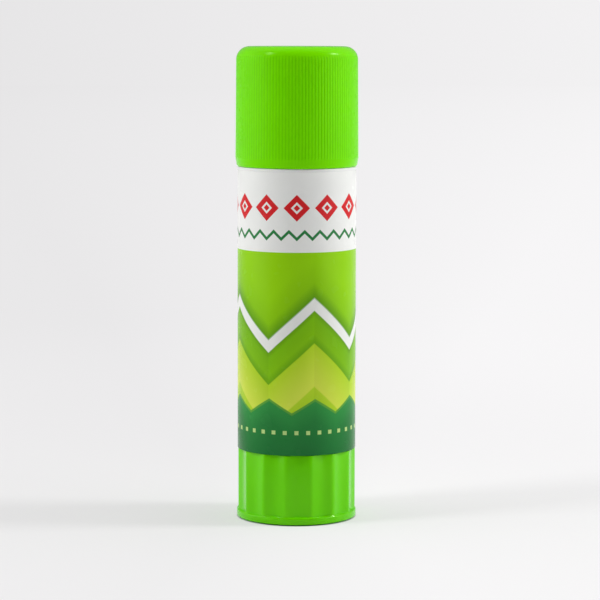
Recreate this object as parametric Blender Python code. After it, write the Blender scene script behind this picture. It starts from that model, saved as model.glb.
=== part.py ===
"""Twist-up glue stick: a knob turns a left-hand screw, which lifts a carrier and its column of glue.

Units are metres and +Z is up. The stick stands on its knob, with its axis on the world Z axis.
Seen from above, turning the knob anticlockwise raises the glue. The cap pulls off upwards.
"""
import math

import bmesh
import bpy
from mathutils import Vector

MM = 0.001

# Clearances
GAP = 0.3 * MM                  # between neighbouring pieces
THREAD_GAP = 0.35 * MM          # radial, between the screw and the nut
BEAD_GAP = 0.1 * MM             # radial, where the cap's bead passes the neck's bead
OVERLAP = 1.0 * MM              # how far a tool runs past the face that it opens or joins

# Barrel
BORE_RADIUS = 10.3 * MM
BARREL_WALL = 2.36 * MM
BARREL_HEIGHT = 60.1 * MM       # from the lower edge to the shoulder
LIP_HEIGHT = 0.6 * MM           # plain ring above the label
EDGE_CHAMFER = 0.25 * MM
NECK_WALL = 1.1 * MM
NECK_HEIGHT = 20.6 * MM
FLOOR_THICKNESS = 1.5 * MM
SPIGOT_LENGTH = 9.5 * MM        # the part of the barrel inside the knob
SPIGOT_WALL = 1.2 * MM

# Snap beads
BEAD_LENGTH = 1.4 * MM          # along the axis
NECK_BEAD_HEIGHT = 0.25 * MM
NECK_BEAD_RISE = 4.8 * MM       # from the shoulder to the middle of the neck's bead
CAP_BEAD_HEIGHT = 0.2 * MM
SPIGOT_BEAD_HEIGHT = 0.3 * MM
SPIGOT_BEAD_RISE = 2.1 * MM     # from the spigot's lower end to the middle of its bead

# Guide ribs in the bore, which stop the carrier and the glue from turning
GUIDE_COUNT = 4
GUIDE_WIDTH = 1.2 * MM
GUIDE_HEIGHT = 0.5 * MM
GUIDE_DROP = 5.0 * MM           # from the mouth down to the ribs' upper ends

# Label, a printed film wrapped round the barrel in a shallow recess
LABEL_THICKNESS = 0.2 * MM

# Cap
CAP_WALL = 1.15 * MM            # at the mouth
CAP_DRAFT = 0.3 * MM            # how much the outside narrows from the mouth to the top
CAP_BORE_DRAFT = 0.25 * MM
CAP_TOP_WALL = 1.5 * MM
CAP_CORNER = 1.9 * MM           # radius of the top edge
CAP_BAND = 1.6 * MM             # plain band at the mouth
HEAD_SPACE = 3.3 * MM           # from the barrel's mouth to the inside of the cap's top
RIB_COUNT = 120
RIB_DEPTH = 0.28 * MM
RIB_SETBACK = 0.06 * MM         # from the plain band's surface in to the ribs' crests
SEAL_WALL = 0.9 * MM
SEAL_DIP = 1.0 * MM             # how far the cap's seal ring reaches into the mouth

# Knob
KNOB_HEIGHT = 15.0 * MM
KNOB_STEP = 0.05 * MM           # from the barrel's surface in to the flutes' ridges
KNOB_WALL = 1.7 * MM            # at the ridges
KNOB_FLOOR = 1.8 * MM
FLUTE_COUNT = 15
FLUTE_DEPTH = 0.48 * MM         # from the circle through the ridges to the middle of a flute
FLUTE_PHASE = math.radians(-99.65)
RIM_HEIGHT = 1.9 * MM
RIM_STEP = 0.23 * MM            # from the ridges out to the base rim
RIM_CORNER = 0.8 * MM
FOOT_WIDTH = 1.5 * MM           # flat ring that the stick stands on
FOOT_RECESS = 0.8 * MM
BOSS_WALL = 1.9 * MM            # outside the socket's corners
WEB_COUNT = 6
WEB_THICKNESS = 1.0 * MM
WEB_HEIGHT = 6.0 * MM

# Spindle
LEAD = 4.0 * MM
CREST_RADIUS = 3.2 * MM
THREAD_DEPTH = 0.9 * MM
CREST_WIDTH = 0.8 * MM
FLANK_WIDTH = 0.8 * MM
SPINDLE_SPARE = 0.6 * MM        # screw left above the nut at the top of its travel
COLLAR_RADIUS = 5.5 * MM
COLLAR_THICKNESS = 1.5 * MM
JOURNAL_RADIUS = 3.0 * MM       # runs in the barrel's floor
DRIVE_FLATS = 4.4 * MM          # across the flats of the six-sided drive

# Carrier
PLATE_THICKNESS = 1.6 * MM
CUP_DEPTH = 6.4 * MM
CUP_WALL = 1.0 * MM
BARB_HEIGHT = 0.4 * MM          # inward lip that holds the glue in the cup
BARB_LENGTH = 0.6 * MM
NUT_WALL = 1.45 * MM
MOUTH_MARGIN = 9.1 * MM         # from the raised carrier's rim up to the mouth

# Glue
GLUE_DROP = 2.6 * MM            # from the mouth down to the glue's face when new
GLUE_CORNER = 0.9 * MM

# Numbers of flat faces
ROUND_SIDES = 48
SPINDLE_SIDES = 24
FLUTE_SIDES = 8                 # per flute
THREAD_SIDES = 12               # per turn
CORNER_STEPS = 3

# Radii that follow from the sizes above
BARREL_RADIUS = BORE_RADIUS + BARREL_WALL
NECK_RADIUS = BORE_RADIUS + NECK_WALL
LABEL_BORE = BARREL_RADIUS - LABEL_THICKNESS
KNOB_RADIUS = BARREL_RADIUS - KNOB_STEP
KNOB_BORE = KNOB_RADIUS - KNOB_WALL
RIM_RADIUS = KNOB_RADIUS + RIM_STEP
SPIGOT_RADIUS = KNOB_BORE - GAP
SPIGOT_BORE = SPIGOT_RADIUS - SPIGOT_WALL
CAP_BORE = NECK_RADIUS + NECK_BEAD_HEIGHT + BEAD_GAP + CAP_BEAD_HEIGHT
CAP_MOUTH_RADIUS = CAP_BORE + CAP_WALL
CAP_TOP_RADIUS = CAP_MOUTH_RADIUS - CAP_DRAFT
SLIDING_RADIUS = BORE_RADIUS - GAP
GUIDE_RADIUS = BORE_RADIUS - GUIDE_HEIGHT
GUIDE_PHASE = math.pi / GUIDE_COUNT
SOCKET_FLATS = DRIVE_FLATS + 2 * GAP
BOSS_RADIUS = SOCKET_FLATS / math.sqrt(3) + BOSS_WALL
NUT_RADIUS = CREST_RADIUS + THREAD_GAP + NUT_WALL
CUP_BORE = SLIDING_RADIUS - CUP_WALL

# Levels that follow, from the table up
CAVITY_LEVEL = FOOT_RECESS + KNOB_FLOOR
BARREL_BOTTOM = KNOB_HEIGHT + GAP
SPIGOT_BOTTOM = BARREL_BOTTOM - SPIGOT_LENGTH
SPIGOT_BEAD = SPIGOT_BOTTOM + SPIGOT_BEAD_RISE
FLOOR_TOP = BARREL_BOTTOM + FLOOR_THICKNESS
COLLAR_BOTTOM = FLOOR_TOP + GAP
COLLAR_TOP = COLLAR_BOTTOM + COLLAR_THICKNESS
CARRIER_BOTTOM = COLLAR_TOP + GAP
PLATE_TOP = CARRIER_BOTTOM + PLATE_THICKNESS
CARRIER_TOP = PLATE_TOP + CUP_DEPTH
SHOULDER = BARREL_BOTTOM + BARREL_HEIGHT
LIP_BOTTOM = SHOULDER - LIP_HEIGHT
NECK_BEAD = SHOULDER + NECK_BEAD_RISE
MOUTH = SHOULDER + NECK_HEIGHT
TRAVEL = MOUTH - MOUTH_MARGIN - CARRIER_TOP
SPINDLE_TOP = CARRIER_TOP + TRAVEL + SPINDLE_SPARE
GLUE_TOP = MOUTH - GLUE_DROP
CAP_BOTTOM = SHOULDER + GAP
CAP_CEILING = MOUTH + HEAD_SPACE
CAP_TOP = CAP_CEILING + CAP_TOP_WALL


def clear_scene():
    for item in list(bpy.data.objects):
        bpy.data.objects.remove(item, do_unlink=True)


def moulded(name, colour, roughness):
    """A plain moulded or cast finish from an sRGB hex colour."""
    channels = [int(colour[i:i + 2], 16) / 255 for i in (1, 3, 5)]
    linear = [c / 12.92 if c <= 0.04045 else ((c + 0.055) / 1.055) ** 2.4 for c in channels]
    material = bpy.data.materials.new(name)
    material.use_nodes = True
    shader = material.node_tree.nodes["Principled BSDF"]
    shader.inputs["Base Color"].default_value = (*linear, 1.0)
    shader.inputs["Roughness"].default_value = roughness
    shader.inputs["Metallic"].default_value = 0.0
    return material


def add_axis(name):
    """An empty on the stick's axis, for the pieces that move together."""
    axis = bpy.data.objects.new(name, None)
    bpy.context.collection.objects.link(axis)
    return axis


def add_object(name, shape, material=None, parent=None):
    """Turn a bmesh into an object with outward faces, smooth but for its sharp edges."""
    bmesh.ops.recalc_face_normals(shape, faces=shape.faces[:])
    mesh = bpy.data.meshes.new(name)
    shape.to_mesh(mesh)
    shape.free()
    mesh.shade_smooth()
    mesh.set_sharp_from_angle(angle=math.radians(30))
    if material:
        mesh.materials.append(material)
    item = bpy.data.objects.new(name, mesh)
    item.parent = parent
    bpy.context.collection.objects.link(item)
    return item


def combine(target, tool, operation):
    """Cut the target by a hidden tool, join the two, or keep what they share."""
    tool.hide_render = True
    tool.display_type = "WIRE"
    step = target.modifiers.new(tool.name, "BOOLEAN")
    step.operation = operation
    step.solver = "EXACT"
    step.object = tool


def turned(outline, sides=ROUND_SIDES):
    """Revolve a closed outline of (radius, height) points about the axis."""
    shape = bmesh.new()
    points = [shape.verts.new((radius, 0.0, height)) for radius, height in outline]
    for start, end in zip(points, points[1:] + points[:1]):
        if start.co.x or end.co.x:
            shape.edges.new((start, end))
    bmesh.ops.spin(shape, geom=shape.verts[:] + shape.edges[:], cent=(0, 0, 0),
                   axis=(0, 0, 1), angle=2 * math.pi, steps=sides)
    bmesh.ops.remove_doubles(shape, verts=shape.verts[:], dist=0.001 * MM)
    return shape


def ring(radii, height, start=0.0):
    """Points at equal angles round the axis, one for each radius."""
    angles = [start + 2 * math.pi * i / len(radii) for i in range(len(radii))]
    return [Vector((radius * math.cos(angle), radius * math.sin(angle), height))
            for radius, angle in zip(radii, angles)]


def lofted(rings, endless=False):
    """Skin a run of rings of equal count. An endless loft joins its last ring to its first."""
    shape = bmesh.new()
    loops = [[shape.verts.new(point) for point in points] for points in rings]
    bands = list(zip(loops, loops[1:]))
    if endless:
        bands.append((loops[-1], loops[0]))
    else:
        shape.faces.new(loops[0])
        shape.faces.new(loops[-1])
    for low, high in bands:
        for i in range(len(low)):
            j = (i + 1) % len(low)
            shape.faces.new((low[i], low[j], high[j], high[i]))
    return shape


def rounded(radius, height, size, up=1):
    """Quarter round on an outer edge at (radius, height), from the side inwards."""
    turns = [math.pi / 2 * i / CORNER_STEPS for i in range(CORNER_STEPS + 1)]
    return [(radius - size * (1 - math.cos(turn)), height - up * size * (1 - math.sin(turn)))
            for turn in turns]


def bead(radius, middle, height):
    """Outline of a snap bead from below upwards, which stands out by height."""
    half = BEAD_LENGTH / 2
    crown = BEAD_LENGTH / 6
    return [(radius, middle - half), (radius + height, middle - crown),
            (radius + height, middle + crown), (radius, middle + half)]


def radial_bars(name, inner, outer, width, bottom, top, count, phase=0.0):
    """Equal upright bars round the axis, each from the inner to the outer radius."""
    shape = bmesh.new()
    for i in range(count):
        angle = phase + 2 * math.pi * i / count
        out = Vector((math.cos(angle), math.sin(angle), 0.0))
        side = Vector((-out.y, out.x, 0.0)) * width / 2
        plan = (out * inner - side, out * outer - side, out * outer + side, out * inner + side)
        low = [shape.verts.new((p.x, p.y, bottom)) for p in plan]
        high = [shape.verts.new((p.x, p.y, top)) for p in plan]
        shape.faces.new(low)
        shape.faces.new(high)
        for a in range(4):
            b = (a + 1) % 4
            shape.faces.new((low[a], low[b], high[b], high[a]))
    return add_object(name, shape)


def guide_slots(name, bottom, top):
    """Tool for the slots that clear the barrel's guide ribs."""
    return radial_bars(name, GUIDE_RADIUS - GAP, BORE_RADIUS + OVERLAP, GUIDE_WIDTH + 2 * GAP,
                       bottom - OVERLAP, top + OVERLAP, GUIDE_COUNT, GUIDE_PHASE)


def six_sided(name, flats, bottom, top):
    """An upright six-sided bar of a width across its flats."""
    radii = [flats / math.sqrt(3)] * 6
    return add_object(name, lofted([ring(radii, bottom), ring(radii, top)]))


def helix(name, growth, bottom, top):
    """A closed left-hand screw that covers bottom to top, with its radii grown by growth.

    The trapezoid outline of one lead climbs as it goes round, so that its upper end is the
    lower end of the turn above. A fan to a point on the axis closes each end.
    """
    root = CREST_RADIUS - THREAD_DEPTH + growth
    crest = CREST_RADIUS + growth
    valley = LEAD - CREST_WIDTH - 2 * FLANK_WIDTH
    outline = [(root, 0.0), (root, valley), (crest, valley + FLANK_WIDTH),
               (crest, valley + FLANK_WIDTH + CREST_WIDTH)]
    first = math.floor(bottom / LEAD) - 1
    last = math.ceil(top / LEAD)
    steps = (last - first) * THREAD_SIDES
    shape = bmesh.new()

    def add_vertex(step, radius, rise):
        angle = -2 * math.pi * (step % THREAD_SIDES) / THREAD_SIDES
        height = LEAD * (first + step / THREAD_SIDES) + rise
        return shape.verts.new((radius * math.cos(angle), radius * math.sin(angle), height))

    rows = [[add_vertex(step, *point) for point in outline] for step in range(steps + 1)]
    roots = [row[0] for row in rows]
    roots += [add_vertex(steps + step, root, 0.0) for step in range(1, THREAD_SIDES + 1)]
    for step in range(steps):
        low = rows[step] + [roots[step + THREAD_SIDES]]
        high = rows[step + 1] + [roots[step + 1 + THREAD_SIDES]]
        for j in range(len(outline)):
            shape.faces.new((low[j], high[j], high[j + 1], low[j + 1]))
    for step in (0, steps):
        hub = shape.verts.new((0.0, 0.0, LEAD * (first + step / THREAD_SIDES + 0.5)))
        edge = roots[step:step + THREAD_SIDES + 1] + rows[step][:0:-1]
        for a, b in zip(edge, edge[1:] + edge[:1]):
            shape.faces.new((hub, a, b))
    return add_object(name, shape)


def scallops():
    """Radii round the knob's grip: equal hollow arcs that meet in sharp ridges."""
    half = math.pi / FLUTE_COUNT
    sag = FLUTE_DEPTH - KNOB_RADIUS * (1 - math.cos(half))
    arc = (KNOB_RADIUS * math.sin(half)) ** 2 / (2 * sag) + sag / 2
    centre = KNOB_RADIUS - FLUTE_DEPTH + arc
    turns = [half * (2 * i / FLUTE_SIDES - 1) for i in range(FLUTE_SIDES)]
    return [centre * math.cos(turn) - math.sqrt(arc ** 2 - (centre * math.sin(turn)) ** 2)
            for turn in turns] * FLUTE_COUNT


def make_barrel(material):
    outline = [(SPIGOT_BORE, SPIGOT_BOTTOM),
               (SPIGOT_RADIUS - EDGE_CHAMFER, SPIGOT_BOTTOM),
               (SPIGOT_RADIUS, SPIGOT_BOTTOM + EDGE_CHAMFER)]
    outline += bead(SPIGOT_RADIUS, SPIGOT_BEAD, SPIGOT_BEAD_HEIGHT)
    outline += [(SPIGOT_RADIUS, BARREL_BOTTOM),
                (LABEL_BORE - GAP, BARREL_BOTTOM),
                (LABEL_BORE - GAP, LIP_BOTTOM),
                (BARREL_RADIUS, LIP_BOTTOM),
                (BARREL_RADIUS, SHOULDER - EDGE_CHAMFER),
                (BARREL_RADIUS - EDGE_CHAMFER, SHOULDER),
                (NECK_RADIUS, SHOULDER)]
    outline += bead(NECK_RADIUS, NECK_BEAD, NECK_BEAD_HEIGHT)
    outline += [(NECK_RADIUS, MOUTH - EDGE_CHAMFER),
                (NECK_RADIUS - EDGE_CHAMFER, MOUTH),
                (BORE_RADIUS + EDGE_CHAMFER, MOUTH),
                (BORE_RADIUS, MOUTH - EDGE_CHAMFER),
                (BORE_RADIUS, FLOOR_TOP),
                (JOURNAL_RADIUS + GAP, FLOOR_TOP),
                (JOURNAL_RADIUS + GAP, BARREL_BOTTOM),
                (SPIGOT_BORE, BARREL_BOTTOM)]
    barrel = add_object("barrel", turned(outline), material)
    guides = radial_bars("guide_ribs", GUIDE_RADIUS, BORE_RADIUS + NECK_WALL / 2, GUIDE_WIDTH,
                         FLOOR_TOP - FLOOR_THICKNESS / 2, MOUTH - GUIDE_DROP,
                         GUIDE_COUNT, GUIDE_PHASE)
    combine(barrel, guides, "UNION")


def make_label(material):
    top = LIP_BOTTOM - GAP
    outline = [(LABEL_BORE, BARREL_BOTTOM), (BARREL_RADIUS, BARREL_BOTTOM),
               (BARREL_RADIUS, top), (LABEL_BORE, top)]
    add_object("label", turned(outline), material)


def cap_grooves():
    """Tool that leaves the cap's fine upright ribs standing between its plain bands."""
    bottom = CAP_BOTTOM + CAP_BAND
    top = CAP_TOP - CAP_CORNER

    def inner(height):
        draft = CAP_DRAFT * (height - CAP_BOTTOM) / (top - CAP_BOTTOM)
        crest = CAP_MOUTH_RADIUS - draft - RIB_SETBACK
        return ring([crest, crest - RIB_DEPTH] * RIB_COUNT, height)

    def outer(height):
        return ring([CAP_MOUTH_RADIUS + OVERLAP] * 2 * RIB_COUNT, height)

    shape = lofted([inner(bottom), inner(top), outer(top), outer(bottom)], endless=True)
    return add_object("cap_grooves", shape)


def cap_hollow():
    """Tool for the inside of the cap, round its seal ring and over its snap bead."""
    seal_radius = BORE_RADIUS - GAP
    seal_bottom = MOUTH - SEAL_DIP
    outline = [(0.0, CAP_BOTTOM - OVERLAP),
               (CAP_BORE + EDGE_CHAMFER, CAP_BOTTOM - OVERLAP),
               (CAP_BORE + EDGE_CHAMFER, CAP_BOTTOM),
               (CAP_BORE, CAP_BOTTOM + EDGE_CHAMFER)]
    outline += bead(CAP_BORE, NECK_BEAD - BEAD_LENGTH, -CAP_BEAD_HEIGHT)
    outline += [(CAP_BORE, NECK_BEAD + BEAD_LENGTH),
                (CAP_BORE - CAP_BORE_DRAFT, CAP_CEILING),
                (seal_radius, CAP_CEILING),
                (seal_radius, seal_bottom + EDGE_CHAMFER),
                (seal_radius - EDGE_CHAMFER, seal_bottom),
                (seal_radius - SEAL_WALL, seal_bottom),
                (seal_radius - SEAL_WALL, CAP_CEILING),
                (0.0, CAP_CEILING)]
    return add_object("cap_hollow", turned(outline))


def make_cap(material, axis):
    outline = [(0.0, CAP_BOTTOM),
               (CAP_MOUTH_RADIUS - EDGE_CHAMFER, CAP_BOTTOM),
               (CAP_MOUTH_RADIUS, CAP_BOTTOM + EDGE_CHAMFER)]
    outline += rounded(CAP_TOP_RADIUS, CAP_TOP, CAP_CORNER)
    outline += [(0.0, CAP_TOP)]
    cap = add_object("cap", turned(outline), material, axis)
    combine(cap, cap_grooves(), "DIFFERENCE")
    combine(cap, cap_hollow(), "DIFFERENCE")


def knob_hollow():
    """Tool for the ring-shaped room between the knob's wall and its boss."""
    outline = [(BOSS_RADIUS, CAVITY_LEVEL), (KNOB_BORE, CAVITY_LEVEL)]
    outline += bead(KNOB_BORE, SPIGOT_BEAD, SPIGOT_BEAD_HEIGHT)
    outline += [(KNOB_BORE, KNOB_HEIGHT + OVERLAP), (BOSS_RADIUS, KNOB_HEIGHT + OVERLAP)]
    return add_object("knob_hollow", turned(outline))


def foot_recess():
    """Tool for the shallow recess inside the ring that the stick stands on."""
    radius = RIM_RADIUS - RIM_CORNER - FOOT_WIDTH
    outline = [(0.0, -OVERLAP), (radius, -OVERLAP), (radius, 0.0),
               (radius - FOOT_RECESS / 2, FOOT_RECESS), (0.0, FOOT_RECESS)]
    return add_object("foot_recess", turned(outline))


def make_knob(material, axis):
    grip = scallops()
    foot = rounded(RIM_RADIUS, 0.0, RIM_CORNER, up=-1)
    foot.reverse()
    foot.append((RIM_RADIUS, RIM_HEIGHT - RIM_STEP))
    rings = [ring([radius] * len(grip), height, FLUTE_PHASE) for radius, height in foot]
    rings += [ring(grip, RIM_HEIGHT, FLUTE_PHASE),
              ring(grip, KNOB_HEIGHT - EDGE_CHAMFER, FLUTE_PHASE),
              ring([radius - EDGE_CHAMFER for radius in grip], KNOB_HEIGHT, FLUTE_PHASE)]
    knob = add_object("knob", lofted(rings), material, axis)
    webs = radial_bars("knob_webs", BOSS_RADIUS - BOSS_WALL / 2, SPIGOT_BORE - GAP, WEB_THICKNESS,
                       CAVITY_LEVEL - KNOB_FLOOR / 2, CAVITY_LEVEL + WEB_HEIGHT, WEB_COUNT)
    socket = six_sided("knob_socket", SOCKET_FLATS, CAVITY_LEVEL, KNOB_HEIGHT + OVERLAP)
    combine(knob, knob_hollow(), "DIFFERENCE")
    combine(knob, foot_recess(), "DIFFERENCE")
    combine(knob, webs, "UNION")
    combine(knob, socket, "DIFFERENCE")


def make_spindle(material, axis):
    """The screw, trimmed to length, on a collar and journal with a six-sided drive below."""
    spindle = helix("spindle", 0.0, COLLAR_BOTTOM, SPINDLE_TOP)
    spindle.data.materials.append(material)
    spindle.parent = axis
    root_level = (COLLAR_BOTTOM + COLLAR_TOP) / 2
    drive_top = (BARREL_BOTTOM + COLLAR_BOTTOM) / 2
    reach = CREST_RADIUS + OVERLAP
    tip = CREST_RADIUS - THREAD_DEPTH - EDGE_CHAMFER
    blank = [(0.0, root_level), (reach, root_level),
             (reach, SPINDLE_TOP - (reach - tip)), (tip, SPINDLE_TOP), (0.0, SPINDLE_TOP)]
    shank = [(0.0, BARREL_BOTTOM), (JOURNAL_RADIUS, BARREL_BOTTOM),
             (JOURNAL_RADIUS, COLLAR_BOTTOM), (COLLAR_RADIUS, COLLAR_BOTTOM),
             (COLLAR_RADIUS, COLLAR_TOP), (0.0, COLLAR_TOP)]
    drive = six_sided("spindle_drive", DRIVE_FLATS, CAVITY_LEVEL + GAP, drive_top)
    combine(spindle, add_object("spindle_blank", turned(blank, SPINDLE_SIDES)), "INTERSECT")
    combine(spindle, add_object("spindle_shank", turned(shank, SPINDLE_SIDES)), "UNION")
    combine(spindle, drive, "UNION")


def cup_wall(clearance):
    """Outline of the cup's inside from the barb down to the plate, moved inwards by clearance."""
    bore = CUP_BORE - clearance
    barb = bore - BARB_HEIGHT
    return [(barb, CARRIER_TOP + clearance),
            (barb, CARRIER_TOP - BARB_LENGTH),
            (bore, CARRIER_TOP - BARB_LENGTH - BARB_HEIGHT),
            (bore, PLATE_TOP + clearance)]


def make_carrier(material, axis):
    outline = [(0.0, CARRIER_BOTTOM),
               (SLIDING_RADIUS - EDGE_CHAMFER, CARRIER_BOTTOM),
               (SLIDING_RADIUS, CARRIER_BOTTOM + EDGE_CHAMFER),
               (SLIDING_RADIUS, CARRIER_TOP)]
    outline += cup_wall(0.0)
    outline += [(NUT_RADIUS, PLATE_TOP), (NUT_RADIUS, CARRIER_TOP), (0.0, CARRIER_TOP)]
    carrier = add_object("carrier", turned(outline), material, axis)
    thread = helix("nut_thread", THREAD_GAP, CARRIER_BOTTOM - OVERLAP, CARRIER_TOP + OVERLAP)
    combine(carrier, thread, "DIFFERENCE")
    combine(carrier, guide_slots("carrier_slots", CARRIER_BOTTOM, CARRIER_TOP), "DIFFERENCE")


def make_glue(material, axis):
    hole = CREST_RADIUS + GAP
    outline = [(hole, CARRIER_TOP + GAP), (hole, SPINDLE_TOP + GAP), (0.0, SPINDLE_TOP + GAP),
               (0.0, GLUE_TOP)]
    outline += reversed(rounded(SLIDING_RADIUS, GLUE_TOP, GLUE_CORNER))
    outline += [(SLIDING_RADIUS, CARRIER_TOP + GAP)]
    outline += cup_wall(GAP)
    outline += [(NUT_RADIUS + GAP, PLATE_TOP + GAP), (NUT_RADIUS + GAP, CARRIER_TOP + GAP)]
    glue = add_object("glue", turned(outline), material, axis)
    combine(glue, guide_slots("glue_slots", CARRIER_TOP + GAP, GLUE_TOP), "DIFFERENCE")


def build():
    clear_scene()
    green = moulded("green_polypropylene", "#5CC814", 0.32)
    white = moulded("white_polypropylene", "#F1F2EF", 0.35)
    film = moulded("printed_film", "#95D30E", 0.28)
    natural = moulded("natural_polypropylene", "#E6E8E4", 0.45)
    gel = moulded("glue_gel", "#F3F1E6", 0.30)

    make_barrel(white)
    make_label(film)
    knob_axis = add_axis("knob_axis")
    make_knob(green, knob_axis)
    make_spindle(natural, knob_axis)
    carrier_axis = add_axis("carrier_axis")
    make_carrier(natural, carrier_axis)
    make_glue(gel, carrier_axis)
    make_cap(green, add_axis("cap_axis"))


build()
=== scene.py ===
"""Looks of the twist-up glue stick: finished surfaces, a plain studio and the photograph's camera.

Units are metres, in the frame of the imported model. The stick stands on its knob on the world Z
axis, and -Y faces the front of the label.
"""
import math

import bmesh
import bpy
from mathutils import Matrix, Vector


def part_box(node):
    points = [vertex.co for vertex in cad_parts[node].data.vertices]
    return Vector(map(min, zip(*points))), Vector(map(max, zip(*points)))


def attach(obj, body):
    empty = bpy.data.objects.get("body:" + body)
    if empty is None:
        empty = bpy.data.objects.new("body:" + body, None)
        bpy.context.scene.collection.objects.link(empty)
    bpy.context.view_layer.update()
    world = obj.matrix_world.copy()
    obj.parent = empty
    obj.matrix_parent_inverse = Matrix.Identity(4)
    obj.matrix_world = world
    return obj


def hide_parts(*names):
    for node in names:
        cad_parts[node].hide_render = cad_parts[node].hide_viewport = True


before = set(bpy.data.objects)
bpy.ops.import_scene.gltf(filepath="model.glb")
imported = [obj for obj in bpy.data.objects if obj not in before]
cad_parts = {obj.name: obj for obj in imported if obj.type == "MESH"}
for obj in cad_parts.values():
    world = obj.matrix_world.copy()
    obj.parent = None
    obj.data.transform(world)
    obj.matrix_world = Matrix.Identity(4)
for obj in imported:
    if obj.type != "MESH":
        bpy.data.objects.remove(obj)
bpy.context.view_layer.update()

MM = 0.001
TURN = 2 * math.pi
MERGE = 0.0001 * MM             # distance under which two points are one


def extent(node):
    """Outer radius, lowest and highest level of a round CAD node."""
    low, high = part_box(node)
    return high.x, low.z, high.z


# Outer sizes, read from the frame
CAP_RADIUS, CAP_BOTTOM, CAP_TOP = extent("cap")
BARREL_RADIUS, SPIGOT_BOTTOM, MOUTH = extent("barrel")
FILM_RADIUS, FILM_BOTTOM, FILM_TOP = extent("label")
RIM_RADIUS, KNOB_BOTTOM, KNOB_TOP = extent("knob")
SLIDING_RADIUS, CARRIER_BOTTOM, CARRIER_TOP = extent("carrier")
COLLAR_RADIUS, DRIVE_BOTTOM, SPINDLE_TOP = extent("spindle")
GLUE_RADIUS, GLUE_BOTTOM, GLUE_TOP = extent("glue")

GAP = 0.3 * MM
SEAM = 0.04 * MM                # hairline between pieces that touch on the real stick
PLASTIC_IOR = 1.49
BEAD_LENGTH = 1.4 * MM
CRISP = 0.1 * MM                # radii of the moulded edges, from the sharpest to the roundest
EASED = 0.15 * MM
FILLET = 0.3 * MM

# Barrel
BORE_RADIUS = 10.3 * MM
RECESS_RADIUS = 12.16 * MM      # under the film
NECK_RADIUS = 11.4 * MM
SHOULDER = CAP_BOTTOM - GAP
LIP_BOTTOM = FILM_TOP + GAP
NECK_BEAD = SHOULDER + 4.8 * MM
NECK_BEAD_HEIGHT = 0.25 * MM
SPIGOT_RADIUS = 10.61 * MM
SPIGOT_BORE = 9.41 * MM
SPIGOT_BEAD = SPIGOT_BOTTOM + 2.1 * MM
SPIGOT_BEAD_HEIGHT = 0.3 * MM
LIP_EDGE = 0.01 * MM
BARREL_COLUMNS = 192
FLOOR_TOP = FILM_BOTTOM + 1.5 * MM
JOURNAL_HOLE = 3.3 * MM
GUIDE_COUNT = 4
GUIDE_RADIUS = 9.8 * MM
GUIDE_WIDTH = 1.2 * MM
GUIDE_DROP = 5.0 * MM
GUIDE_PHASE = math.pi / GUIDE_COUNT

# Cap
CAP_TOP_RADIUS = CAP_RADIUS - 0.17 * MM
CAP_CORNER = 2.8 * MM
CAP_EDGE = 0.5 * MM             # rounding of the outer edge at the mouth
CAP_DRAW_IN = 0.28 * MM         # how far the plain band under the ribs draws in towards the mouth
CAP_BORE = 11.95 * MM
CAP_BORE_DRAFT = 0.25 * MM
CAP_BEAD_HEIGHT = 0.2 * MM
CAP_CEILING = CAP_TOP - 1.5 * MM
RIB_COUNT = 120
RIB_COLUMNS = 8                 # columns of faces to a rib
RIB_DEPTH = 0.04 * MM
RIB_SETBACK = 0.01 * MM
RIB_BOTTOM = CAP_BOTTOM + 1.2 * MM
RIB_TOP = CAP_TOP - 1.8 * MM
RIB_END = 0.45 * MM             # length of the scoop at each end of a groove
RIB_CREST = 0.2                 # the flank begins and ends here, in shares of the spacing from a crest
RIB_FLOOR = 0.5
SEAL_RADIUS = 10.0 * MM
SEAL_WALL = 0.9 * MM
SEAL_BOTTOM = MOUTH - 1.0 * MM
GATE_RADIUS = 0.9 * MM          # dimple left where the plastic entered the mould
GATE_DEPTH = 0.15 * MM
GATE_FLOOR_RADIUS = 0.8 * GATE_RADIUS
CORNER_STEPS = 12
END_ROWS = 4                    # rows of faces in the scoops, and in the wall above them
WALL_ROWS = 8
ROW_MARGIN = 0.1 * MM

# Knob
KNOB_RADIUS = BARREL_RADIUS - 0.05 * MM
KNOB_BORE = 10.91 * MM
CAVITY_LEVEL = 2.6 * MM
FLUTE_COUNT = 15
FLUTE_COLUMNS = 20
FLUTE_DEPTH = 0.52 * MM
FLUTE_EDGE = 0.1                # rounding of the ridges between flutes, as a share of their spacing
FLUTE_PHASE = math.radians(-99.65)
RIM_EDGE = 1.55 * MM
RIM_FILLET = 0.4 * MM
LEDGE = 1.85 * MM
RIM_CORNER = 0.15 * MM
FOOT_STEP = 0.25 * MM           # how far the foot stands out under the rim
FOOT_WIDTH = 1.5 * MM
FOOT_RECESS = 0.8 * MM
BOSS_RADIUS = 4.79 * MM
SOCKET_FLATS = 5.0 * MM
WEB_COUNT = 6
WEB_THICKNESS = 1.0 * MM
WEB_HEIGHT = 6.0 * MM
WEB_ROOT = 0.9 * MM             # how far a web reaches into the boss

# Spindle and nut
LEAD = 4.0 * MM
CREST_RADIUS = 3.2 * MM
THREAD_DEPTH = 0.9 * MM
THREAD_GAP = 0.35 * MM
THREAD_CREST = 0.1              # the flank begins and ends here, in shares of the lead from a crest
THREAD_FLOOR = 0.3
THREAD_START = 0.7 * TURN       # angle of a crest at the level of the foot
THREAD_ROW = 0.16 * MM          # height of a row of faces
THREAD_RUNOUT = 1.0 * MM
SPINDLE_COLUMNS = 72
TIP_STEP = 0.25 * MM            # how far the tip stays inside the thread's floor
COLLAR_BOTTOM = FLOOR_TOP + GAP
COLLAR_TOP = COLLAR_BOTTOM + 1.5 * MM
JOURNAL_RADIUS = 3.0 * MM
DRIVE_FLATS = 4.4 * MM

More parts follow.
